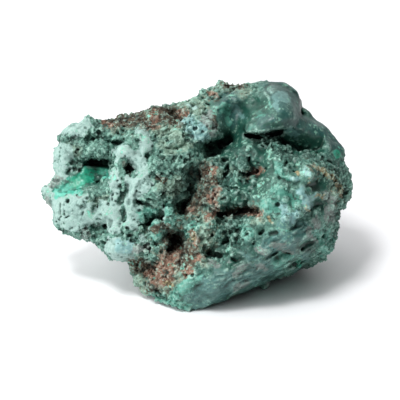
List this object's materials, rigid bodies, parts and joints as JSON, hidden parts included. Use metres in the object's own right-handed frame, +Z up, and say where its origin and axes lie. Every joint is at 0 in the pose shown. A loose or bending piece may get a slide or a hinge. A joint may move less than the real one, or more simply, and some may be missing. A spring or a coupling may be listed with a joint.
{
  "type": "raw malachite specimen",
  "caption": "Craggy hand specimen of raw malachite with smooth crusts, rounded domes, pores and deep hollows, resting on a flat broken base.",
  "frame": {"origin": "on the flat resting face, under the middle of the stone's bounding box", "axes": "+Z up, +X along the stone's length towards its heavier end, -Y out of the show face"},
  "size_m": [0.0948, 0.0642, 0.0582],
  "materials": {
    "malachite": "mostly matt mineral crust, with smoother waxy domes and hollows"
  },
  "bodies": {
    "root": {"malachite_stone": "malachite"}
  },
  "joints": []
}
